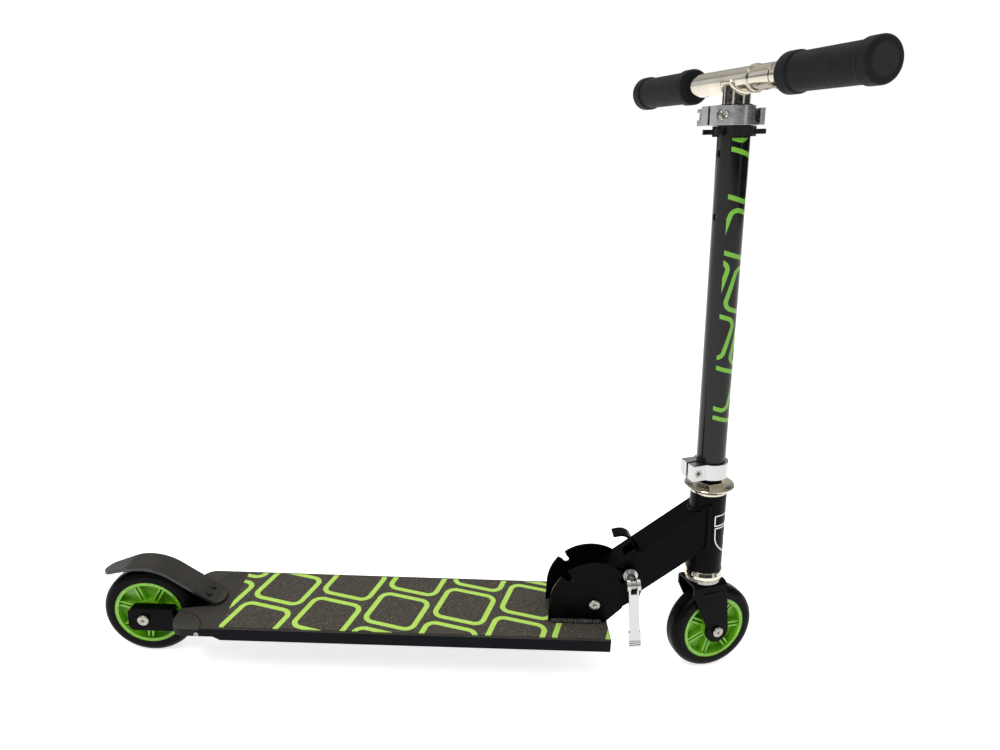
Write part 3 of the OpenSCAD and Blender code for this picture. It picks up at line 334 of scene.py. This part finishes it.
# The badge on the head tube: a plain banner over a plain shield, both only outlines, screen
# printed in thick white ink and wrapped round the front.
axis_floor = axis_point - axis_up * (axis_point[2] / axis_up[2])
axis_front = np.array([axis_up[2], 0, -axis_up[0]])
INK_WIDTH, INK_THICK = 1.15 * MM, 0.16 * MM
ink, ink_shader = finish("white_ink", Specular_IOR_Level=0.4)
plug(ink, ink_shader,
     Base_Color=blend_colours(ink, spread(ink, grain(ink, 2.5, 4), 0.3, 0.7), "#f2f2ef", "#fdfdfb"),
     Roughness=spread(ink, grain(ink, 1.2, 4), 0.3, 0.7, 0.4, 0.55),
     Normal=relief(ink, grain(ink, 0.4, 2), 0.03, 0.5))


def ink_outline(name, corners):
    """A closed printed line through corners given as degrees round the tube and millimetres up it."""
    corners = np.array(corners + corners[:1], dtype=float)
    turn = np.concatenate([np.linspace(corners[i, 0], corners[i + 1, 0], 24, endpoint=False)
                           for i in range(len(corners) - 1)] + [corners[:1, 0]])
    rise = np.concatenate([np.linspace(corners[i, 1], corners[i + 1, 1], 24, endpoint=False)
                           for i in range(len(corners) - 1)] + [corners[:1, 1]])
    out = (np.cos(np.radians(turn))[:, None] * axis_front
           + np.sin(np.radians(turn))[:, None] * np.array([0, 1, 0]))
    path = axis_floor + rise[:, None] * MM * axis_up + out * HEAD_RADIUS
    along = np.gradient(path, axis=0)
    along[0] = along[-1] = path[1] - path[-2]
    along /= np.linalg.norm(along, axis=1)[:, None]
    side = np.cross(out, along) * INK_WIDTH / 2
    rings = np.stack([path - side - out * 0.1 * MM, path - side + out * INK_THICK,
                      path + side + out * INK_THICK, path + side - out * 0.1 * MM], axis=1)
    skin(name, rings, ink, "neck")


ink_outline("badge_banner", [(-79, 184), (79, 184), (79, 195.5), (-79, 195.5)])
shield = [(-77, 181), (-75.5, 168), (-70, 162.5), (-60, 158), (-42, 152.5), (-20, 148.5), (0, 146.5)]
ink_outline("badge_shield", shield + [(-turn, rise) for turn, rise in shield[-2::-1]])

# Both wheels: a polyurethane tyre cast round a hub moulded in lime nylon.
tyre_rubber, tyre_shader = finish("cast_polyurethane", Specular_IOR_Level=0.06)
plug(tyre_rubber, tyre_shader,
     Base_Color=blend_colours(tyre_rubber, spread(tyre_rubber, grain(tyre_rubber, 12, 5), 0.3, 0.7),
                              "#040405", "#09090b"),
     Roughness=spread(tyre_rubber, grain(tyre_rubber, 5, 6), 0.3, 0.7, 0.24, 0.42),
     Normal=relief(tyre_rubber, grain(tyre_rubber, 0.8, 4), 0.05, 0.5))
dress(tyre_rubber, "rear_tyre", "front_tyre")

hub_nylon, hub_shader = finish("lime_nylon", Specular_IOR_Level=0.5, Coat_Weight=0.25, Coat_Roughness=0.12)
plug(hub_nylon, hub_shader,
     Base_Color=blend_colours(hub_nylon, spread(hub_nylon, grain(hub_nylon, 9, 4), 0.3, 0.7),
                              "#5da210", "#7abc22"),
     Roughness=spread(hub_nylon, grain(hub_nylon, 3, 4), 0.3, 0.7, 0.24, 0.36),
     Normal=relief(hub_nylon, grain(hub_nylon, 1.5, 2), 0.04, 0.4, edge_mm=0.5))
dress(hub_nylon, "rear_hub", "front_hub")

# Bolts, nuts, bearings and pins: bright zinc over turned and pressed steel.
zinc, zinc_shader = finish("bright_zinc", Metallic=1.0)
plug(zinc, zinc_shader,
     Base_Color=blend_colours(zinc, spread(zinc, grain(zinc, 3, 5), 0.3, 0.7), "#908e89", "#aeaca6"),
     Roughness=spread(zinc, grain(zinc, 1.5, 5), 0.3, 0.7, 0.2, 0.36),
     Normal=relief(zinc, grain(zinc, 0.5, 3), 0.02, 0.5, edge_mm=0.4))
dress(zinc, "bracket_bolts", "side_screws", "pivot_bolt", "frame_nuts", "rear_axle", "rear_axle_spacers",
      "rear_bearings", "pivot_bush", "headset_bearings", "lock_rod", "rod_nut",
      "lever_pin", "crown_race", "lower_clamp_bolt", "upper_clamp_bolt", "front_axle", "front_axle_nut",
      "front_axle_spacers", "front_bearings", "stem_button", "right_button", "left_button")

# The button heads of the bolts that show: a rolled edge, a low dome and a hexagon socket, forged
# in one blow and zinc plated. Each is a turned shell over the plain head.
BUTTON = {"radius": 6.15 * MM, "height": 3.5 * MM, "socket": 1.95 * MM, "depth": 2.2 * MM}
LEG_OUT = 17.5 * MM


def button_head(name, base, outward, body, radius, height, socket, depth):
    """A domed head on a plane: rings of points from the foot, over the dome and down into a six-sided
    socket, where a hexagon's radius is its flat's distance over the cosine of the angle from that flat."""
    outward = np.array(outward, dtype=float)
    first = np.cross(outward, [0.31, 0.17, 0.93])
    first /= np.linalg.norm(first)
    second = np.cross(outward, first)
    turn = np.linspace(0, 2 * math.pi, 72, endpoint=False)
    hexagon = socket * math.cos(math.pi / 6) / np.cos((turn + math.pi / 6) % (math.pi / 3) - math.pi / 6)
    disc = np.ones_like(turn)
    profile = [(0.02 * MM * disc, 0), (radius * disc, 0), (radius * disc, 0.62 * height)]
    for step in np.linspace(0.2, 1, 6):
        lean = step * math.pi / 2
        profile.append(((radius - (radius - 1.5 * socket) * (1 - math.cos(lean)) * 0.75) * disc,
                        (0.62 + 0.38 * math.sin(lean)) * height))
    profile += [(1.22 * socket * disc, height), (hexagon, height - 0.15 * MM), (hexagon, height - depth),
                (0.02 * MM * disc, height - depth)]
    rings = np.array([np.array(base) + outward * rise + size[:, None]
                      * (np.cos(turn)[:, None] * first + np.sin(turn)[:, None] * second)
                      for size, rise in profile])
    skin(name, rings, zinc, body)


spin = joints["front_wheel_spin"]
leg_side = np.array(spin["axis"])
if leg_side[1] > 0:
    leg_side = -leg_side
button_head("rear_axle_head", (rear_axle_x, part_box("axle_bracket")[0].y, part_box("rear_tyre")[1].z / 2),
            (0, -1, 0), "frame", **BUTTON)
button_head("pivot_head", (pivot[0], plates_low.y, pivot[2]), (0, -1, 0), "frame", **BUTTON)
button_head("front_axle_head", np.array(spin["pos_m"]) + LEG_OUT * leg_side, leg_side, "steering", **BUTTON)

# Washers between the neck and the hinge plates, punched from natural nylon sheet so that
# the fold turns without a squeak.
washer, washer_shader = finish("natural_nylon", Specular_IOR_Level=0.5)
plug(washer, washer_shader,
     Base_Color=blend_colours(washer, grain(washer, 6, 3), "#c9c7bd", "#dedcd2"),
     Roughness=spread(washer, grain(washer, 2, 3), 0.3, 0.7, 0.4, 0.5))
dress(washer, "pivot_washers")

# Clamps and levers: aluminium, sawn from extrusion or die-cast, brushed round the column and
# left bare.
alloy, alloy_shader = finish("brushed_aluminium", Metallic=1.0)
brush = grain(alloy, 0.45, 3, stretch=(14, 14, 1))
plug(alloy, alloy_shader,
     Base_Color=blend_colours(alloy, brush, "#b3b3b4", "#c8c8c9"),
     Roughness=spread(alloy, brush, 0.3, 0.7, 0.22, 0.3),
     Normal=relief(alloy, brush, 0.01, 0.3, edge_mm=0.5))
dress(alloy, "lower_clamp", "upper_clamp", "clamp_lever", "lock_lever", "lever_washer")

# Chrome on steel: headset cups, flange and nut, the sliding stem and the bar. The plating's colour is
# given a warm tint all over as a painted reflection of the room, with a little haze from handling.
chrome, chrome_shader = finish("chrome_plate", Metallic=1.0)
# Painted reflection: the base colour is a warm cream in place of the warm room that the chrome would mirror.
plug(chrome, chrome_shader,
     Base_Color=blend_colours(chrome, spread(chrome, grain(chrome, 16, 3), 0.3, 0.7), "#c9c2b2", "#d8d2c4"),
     Roughness=spread(chrome, grain(chrome, 4, 6), 0.3, 0.75, 0.05, 0.15),
     Normal=relief(chrome, grain(chrome, 12, 2), 0.02, 0.3, edge_mm=0.5))
dress(chrome, "lower_cup", "upper_cup", "headset_flange", "headset_locknut", "stem_tube", "cross_tube",
      "right_handle", "left_handle")

# The stem is welded under the cross tube before both are plated, so the bead shines too.
lean = np.array(joints["stem_height"]["axis"])
across_bar = np.array(joints["left_handle_pull"]["axis"])
ahead = np.cross(across_bar, lean)
bar_middle = sum((np.array(corner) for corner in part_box("cross_tube")), np.zeros(3)) / 2
STEM_RADIUS, BAR_RADIUS, STEM_BEAD, LEAST_DROP = 12.8 * MM, 11 * MM, 2.2 * MM, 2 * MM
round_stem = np.linspace(0, 2 * math.pi, 160)
weld_u = STEM_RADIUS * np.cos(round_stem)
weld_v = STEM_RADIUS * np.sin(round_stem)
weld_h = -np.sqrt(np.maximum(BAR_RADIUS ** 2 - weld_u ** 2, LEAST_DROP ** 2))
axis_foot = axis_point + ((bar_middle - axis_point) @ lean) * lean
stem_line = (axis_foot + weld_u[:, None] * ahead + weld_v[:, None] * across_bar + weld_h[:, None] * lean)
stem_out = (weld_u[:, None] * ahead + weld_v[:, None] * across_bar) / STEM_RADIUS
skin("stem_weld", bead(stem_line, stem_out, STEM_BEAD, ripple=0.14, pitch=1.9 * MM, seed=5), chrome,
     "stem")

# The quick-release bolt of the upper clamp has a broad turned head on the rider's right.
CLAMP_BACK, CLAMP_SIDE, CLAMP_RISE = -22 * MM, -12.5 * MM, 597.8 * MM
button_head("clamp_bolt_head", axis_floor + CLAMP_BACK * ahead + CLAMP_SIDE * across_bar + CLAMP_RISE * lean,
            -across_bar, "steering", radius=5.4 * MM, height=4.5 * MM, socket=2.5 * MM, depth=2.2 * MM)

# The outer tube: steel in gloss black, with a printed film round its front that repeats the tape's
# squares at three quarters of the size, turned so that their columns run up the tube.
DECAL_LOW, DECAL_HIGH, DECAL_EDGE = 299.5 * MM, 578 * MM, math.radians(129)
DECAL_MARK, DECAL_SHARE = math.radians(124.1), 0.745
TUBE_RADIUS = 15 * MM
tube_paint, tube_shader = finish("gloss_black_tube", Specular_IOR_Level=0.3)
lean_angle = math.atan2(-axis_up[0], axis_up[2])
steer_turn = math.atan2(ahead[1], ahead[0] / math.cos(lean_angle))
in_line = add(tube_paint, "Mapping", {"Vector": add(tube_paint, "TexCoord").outputs["Object"],
              "Location": axis_floor.tolist(), "Rotation": (0, -lean_angle, 0)}, vector_type="TEXTURE")
tube_xyz = add(tube_paint, "SeparateXYZ", {0: in_line.outputs[0]})
angle = add(tube_paint, "Math", {0: tube_xyz.outputs["Y"], 1: tube_xyz.outputs["X"]},
            operation="ARCTAN2").outputs[0]
arc = add(tube_paint, "Math", {0: angle, 1: steer_turn}, operation="SUBTRACT").outputs[0]
from_mark = add(tube_paint, "Math", {0: arc, 1: DECAL_MARK}, operation="ADD").outputs[0]
round_mm = add(tube_paint, "Math", {0: from_mark, 1: -TUBE_RADIUS}, operation="MULTIPLY").outputs[0]
film_xy = add(tube_paint, "CombineXYZ", {0: tube_xyz.outputs["Z"], 1: round_mm})
film_place = add(tube_paint, "Mapping", {
    "Vector": film_xy.outputs[0], "Location": (433.69 * MM, -27.39 * MM, 0),
    "Rotation": (0, 0, -TAPE_TURN)}, vector_type="TEXTURE")
film_axes = add(tube_paint, "SeparateXYZ", {0: film_place.outputs[0]})
strokes = rounded_squares(tube_paint, film_axes.outputs["X"], film_axes.outputs["Y"],
                          DECAL_SHARE * TAPE_PITCH, DECAL_SHARE)


def within(material, value, low, high):
    """1 where a value lies between low and high, else 0."""
    above = add(material, "Math", {0: value, 1: low}, operation="GREATER_THAN").outputs[0]
    below = add(material, "Math", {0: value, 1: high}, operation="LESS_THAN").outputs[0]
    return add(material, "Math", {0: above, 1: below}, operation="MULTIPLY").outputs[0]


def product(material, first, second):
    """The product of two values."""
    return add(material, "Math", {0: first, 1: second}, operation="MULTIPLY").outputs[0]


film = product(tube_paint, within(tube_paint, tube_xyz.outputs["Z"], DECAL_LOW, DECAL_HIGH),
               within(tube_paint, arc, -DECAL_EDGE, DECAL_EDGE))
strokes = product(tube_paint, strokes, film)
tube_black = blend_colours(tube_paint, spread(tube_paint, grain(tube_paint, 30, 4), 0.3, 0.7),
                           "#060709", "#0b0c10")
plug(tube_paint, tube_shader,
     Base_Color=blend_colours(tube_paint, strokes, tube_black, "#6fac3a"),
     Roughness=spread(tube_paint, grain(tube_paint, 8, 6), 0.3, 0.7, 0.1, 0.16),
     Normal=relief(tube_paint, grain(tube_paint, 1.6, 2), 0.03, 0.4))
dress(tube_paint, "outer_tube")

# The clip collar under the upper clamp, moulded in black acetal and pushed over the tube. Its
# arms end in the clips that hold the two handles once they are pulled out.
collar, collar_shader = finish("black_acetal", Specular_IOR_Level=0.25)
plug(collar, collar_shader,
     Base_Color=blend_colours(collar, grain(collar, 10, 3), "#06080b", "#0c0e12"),
     Roughness=spread(collar, grain(collar, 3, 4), 0.3, 0.7, 0.34, 0.46),
     Normal=relief(collar, grain(collar, 0.6, 3), 0.03, 0.5))
dress(collar, "clip_collar")

# Grips: closed-cell foam sleeves, thicker at both ends, pushed on wet, with a soft moulded plug in
# the end of each handle.
foam, foam_shader = finish("closed_cell_foam", Specular_IOR_Level=0.15, Sheen_Weight=0.06,
                           Sheen_Roughness=0.5)
cells = add(foam, "TexVoronoi", {"Vector": add(foam, "TexCoord").outputs["Object"],
                                 "Scale": 1 / (0.7 * MM)})
plug(foam, foam_shader,
     Base_Color=blend_colours(foam, spread(foam, grain(foam, 14, 5), 0.3, 0.7), "#0c0e11", "#131619"),
     Roughness=spread(foam, grain(foam, 5, 4), 0.3, 0.7, 0.78, 0.92),
     Normal=relief(foam, cells.outputs["Distance"], 0.18, 0.6))
dress(foam, "right_grip", "left_grip")
plug_rubber, plug_shader = finish("moulded_pvc", Specular_IOR_Level=0.25)
plug(plug_rubber, plug_shader,
     Base_Color=blend_colours(plug_rubber, grain(plug_rubber, 8, 4), "#15181b", "#1f2225"),
     Roughness=spread(plug_rubber, grain(plug_rubber, 3, 4), 0.3, 0.7, 0.5, 0.62),
     Normal=relief(plug_rubber, grain(plug_rubber, 0.6, 3), 0.04, 0.5))
dress(plug_rubber, "right_end_plug", "left_end_plug")

# The floor: a pale paper sweep that glows a little, as one lit from below does, so that it
# runs into the background with no line.
SWEEP = 14.0
floor_mesh = bpy.data.meshes.new("floor")
floor_mesh.from_pydata([(-SWEEP, -SWEEP, 0), (SWEEP, -SWEEP, 0), (SWEEP, SWEEP, 0), (-SWEEP, SWEEP, 0)], [],
                       [(0, 1, 2, 3)])
floor = bpy.data.objects.new("floor", floor_mesh)
bpy.context.scene.collection.objects.link(floor)
paper = finish("white_paper", Base_Color=linear("#f2f2f1"), Roughness=0.95, Specular_IOR_Level=0.0,
               Emission_Color=linear("#ffffff"), Emission_Strength=0.72)[0]
floor.data.materials.append(paper)

# The studio round it: white where the camera sees it. What the object reflects is bright overhead
# and dark level with it, with a tall narrow bright card at each side.
world = bpy.data.worlds.new("studio")
world.use_nodes = True
bpy.context.scene.world = world
tree = world.node_tree


def wire(kind, inputs, **settings):
    """Adds one node to the studio: inputs are values or sockets by name or number."""
    node = tree.nodes.new("ShaderNode" + kind)
    for name, value in settings.items():
        setattr(node, name, value)
    for name, value in inputs.items():
        if isinstance(value, bpy.types.NodeSocket):
            tree.links.new(value, node.inputs[name])
        else:
            node.inputs[name].default_value = value
    return node


toward = wire("SeparateXYZ", {0: wire("TexCoord", {}).outputs["Generated"]})
overhead = wire("MapRange", {0: toward.outputs["Z"], 1: 0.1, 2: 0.55, 3: 0.05, 4: 0.64}).outputs[0]
sideways = wire("Math", {0: toward.outputs["X"]}, operation="ABSOLUTE").outputs[0]
off_card = wire("Math", {0: sideways, 1: 0.7}, operation="SUBTRACT").outputs[0]
off_card = wire("Math", {0: off_card}, operation="ABSOLUTE").outputs[0]
cards = wire("MapRange", {0: off_card, 1: 0.12, 2: 0.06, 3: 0.0, 4: 0.9}).outputs[0]
glow = wire("Math", {0: overhead, 1: cards}, operation="MAXIMUM").outputs[0]
warm = wire("Mix", {0: overhead, 6: linear("#e8ecf4"), 7: linear("#fff8ea")}, data_type="RGBA").outputs[2]
surround = wire("Background", {"Color": warm, "Strength": glow})
backdrop = wire("Background", {"Color": linear("#ffffff"), "Strength": 1.0})
seen = wire("LightPath", {}).outputs["Is Camera Ray"]
shown = wire("MixShader", {0: seen, 1: surround.outputs[0], 2: backdrop.outputs[0]})
tree.links.new(shown.outputs[0], tree.nodes["World Output"].inputs["Surface"])


def soft_light(name, place, target, size, power):
    """A square area light at a place, facing a target."""
    light = bpy.data.lights.new(name, "AREA")
    light.size = size
    light.energy = power
    lamp = bpy.data.objects.new(name, light)
    lamp.location = place
    lamp.rotation_euler = (Vector(target) - Vector(place)).to_track_quat("-Z", "Y").to_euler()
    bpy.context.scene.collection.objects.link(lamp)


# The key light stands ahead of the rider's right and above, and the top light fills from behind.
soft_light("key", (-0.7, -1.1, 2.1), (0, 0, 0.25), 0.9, 20)
soft_light("top", (0.5, 0.6, 2.4), (0, 0, 0.3), 1.4, 12)

# The camera looks down a little from the rider's right, level with the clamp.
camera_data = bpy.data.cameras.new("camera")
camera_data.sensor_width = 36
camera_data.lens = 26.924
camera = bpy.data.objects.new("camera", camera_data)
yaw, pitch, roll = math.radians(1.2785), math.radians(-16.877), math.radians(2.579)
forward = np.array([math.sin(yaw) * math.cos(pitch), math.cos(yaw) * math.cos(pitch), math.sin(pitch)])
level = np.array([math.cos(yaw), -math.sin(yaw), 0])
upright = np.cross(level, forward)
right = math.cos(roll) * level + math.sin(roll) * upright
above = -math.sin(roll) * level + math.cos(roll) * upright
place = np.eye(4)
place[:3, 0], place[:3, 1], place[:3, 2] = right, above, -forward
place[:3, 3] = (rear_axle_x + 360.35 * MM, -730.49 * MM, 558.85 * MM)
camera.matrix_world = Matrix(place.tolist())
bpy.context.scene.collection.objects.link(camera)
bpy.context.scene.camera = camera
bpy.context.scene.view_settings.view_transform = "Standard"
